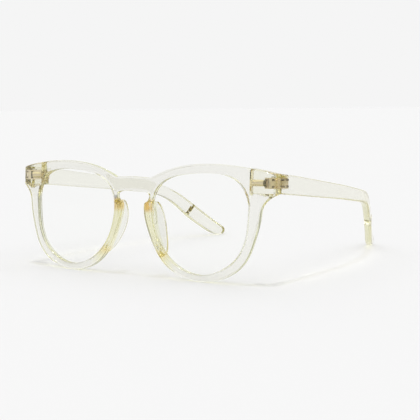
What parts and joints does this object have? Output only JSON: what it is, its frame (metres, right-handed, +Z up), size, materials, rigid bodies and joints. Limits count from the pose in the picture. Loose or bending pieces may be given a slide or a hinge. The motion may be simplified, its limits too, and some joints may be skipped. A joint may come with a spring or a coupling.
{
  "type": "blue light glasses",
  "caption": "Full-rim keyhole-bridge glasses in clear pale plastic, with flat clear lenses, metal hinges and folding temples with separate ear tips.",
  "frame": {"origin": "bottom centre of the open glasses' bounding box, on the surface they stand on", "axes": "+X towards the wearer's left, +Y from the front back to the ears, +Z up"},
  "size_m": [0.1438, 0.1488, 0.0509],
  "materials": {
    "frame_plastic": "clear pale champagne, polished",
    "pad_plastic": "clear, polished",
    "tip_plastic": "clear, polished",
    "lens": "clear lens with a faint coating",
    "hinge_metal": "pale gold plate",
    "screw_steel": "plain"
  },
  "bodies": {
    "front": {"front_frame": "frame_plastic", "left_lens": "lens", "left_nose_pad": "pad_plastic", "left_front_hinge": "hinge_metal", "left_hinge_screw": "screw_steel", "right_lens": "lens", "right_nose_pad": "pad_plastic", "right_front_hinge": "hinge_metal", "right_hinge_screw": "screw_steel"},
    "left_temple": {"left_temple_hinge": "hinge_metal", "left_temple_arm": "frame_plastic", "left_temple_tip": "tip_plastic"},
    "right_temple": {"right_temple_hinge": "hinge_metal", "right_temple_arm": "frame_plastic", "right_temple_tip": "tip_plastic"}
  },
  "joints": [
    {"name": "left_fold", "type": "hinge", "parent": "front", "child": "left_temple", "pos_m": [0.0662, -0.06103, 0.04291], "axis": [0, 0.0523, 0.9986], "range_deg": [0, 83]},
    {"name": "right_fold", "type": "hinge", "parent": "front", "child": "right_temple", "pos_m": [-0.0662, -0.06103, 0.04291], "axis": [0, -0.0523, -0.9986], "range_deg": [0, 77]}
  ]
}
